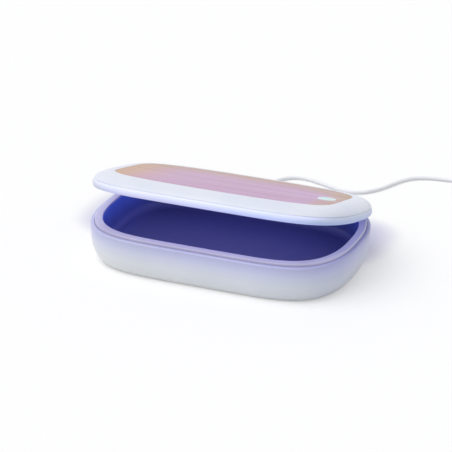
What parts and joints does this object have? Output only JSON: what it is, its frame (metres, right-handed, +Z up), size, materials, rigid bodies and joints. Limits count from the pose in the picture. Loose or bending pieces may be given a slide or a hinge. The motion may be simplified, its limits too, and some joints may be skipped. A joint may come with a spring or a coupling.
{
  "type": "uv sterilizer box",
  "caption": "Rounded oblong sterilizer box with a hinged, partly open lid, a wooden inlay, a push button, ultraviolet lamps in the lid and a USB cable.",
  "frame": {"origin": "middle of the box's footprint, on the surface that its feet stand on", "axes": "+X along the long side to the right as seen from the front, +Y towards the hinge and the cable, +Z up"},
  "size_m": [0.3053, 0.2796, 0.0743],
  "materials": {
    "shell_white": "satin moulded white, faintly blue",
    "rim_white": "satin moulded white",
    "chamber_navy": "smooth dark blue moulding",
    "band_white": "satin moulded white",
    "shoulder_white": "satin moulded white",
    "bamboo": "sanded bamboo with fine lengthwise grain",
    "lamp_glass": "clear window, faintly violet",
    "diode": "pale ceramic package",
    "lamp_board": "plain metal-backed board",
    "board_green": "green circuit board",
    "sensor_black": "black moulded case",
    "magnet": "nickel-plated",
    "pin_steel": "ground steel",
    "socket_steel": "bright pressed sheet",
    "screw_steel": "zinc-plated",
    "foot_rubber": "pale grey rubber",
    "button_white": "translucent white cap",
    "plunger_red": "moulded plunger",
    "cable_white": "smooth white cable jacket",
    "plug_white": "white moulded plug",
    "strap_grey": "pale woven strap"
  },
  "bodies": {
    "base": {"base_shell": "shell_white", "rim_frame": "rim_white", "chamber_liner": "chamber_navy", "control_board": "board_green", "usb_socket": "socket_steel", "keeper_magnet": "magnet", "lid_sensor": "sensor_black", "hinge_pin_left": "pin_steel", "hinge_pin_right": "pin_steel", "foot_left_front": "foot_rubber", "foot_left_rear": "foot_rubber", "foot_right_front": "foot_rubber", "foot_right_rear": "foot_rubber", "base_screw_left_front": "screw_steel", "base_screw_left_rear": "screw_steel", "base_screw_right_front": "screw_steel", "base_screw_right_rear": "screw_steel", "device_plug": "plug_white", "device_plug_tongue": "socket_steel", "usb_cable": "cable_white", "cable_coil": "cable_white", "cable_tail": "cable_white", "cable_tie": "strap_grey", "far_plug": "plug_white", "far_plug_tongue": "socket_steel"},
    "lid": {"lid_lower_cover": "band_white", "lid_top_cover": "shoulder_white", "bamboo_panel": "bamboo", "uv_lens_left": "lamp_glass", "uv_lens_right": "lamp_glass", "uv_led_left": "diode", "uv_led_right": "diode", "uv_board_left": "lamp_board", "uv_board_right": "lamp_board", "lid_board": "board_green", "switch_case": "sensor_black", "lid_magnet": "magnet", "lid_screw_left_front": "screw_steel", "lid_screw_left_rear": "screw_steel", "lid_screw_right_front": "screw_steel", "lid_screw_right_rear": "screw_steel"},
    "button": {"power_button": "button_white", "switch_plunger": "plunger_red"}
  },
  "joints": [
    {"name": "lid_hinge", "type": "hinge", "parent": "base", "child": "lid", "pos_m": [0, 0.0643, 0.0287], "axis": [-1, 0, 0], "range_deg": [-15.54, 59.46]},
    {"name": "power_button_slide", "type": "slide", "parent": "lid", "child": "button", "axis": [0, -0.2679, -0.9634], "range_m": [0, 0.0005], "stiffness_N_per_m": 2500}
  ]
}
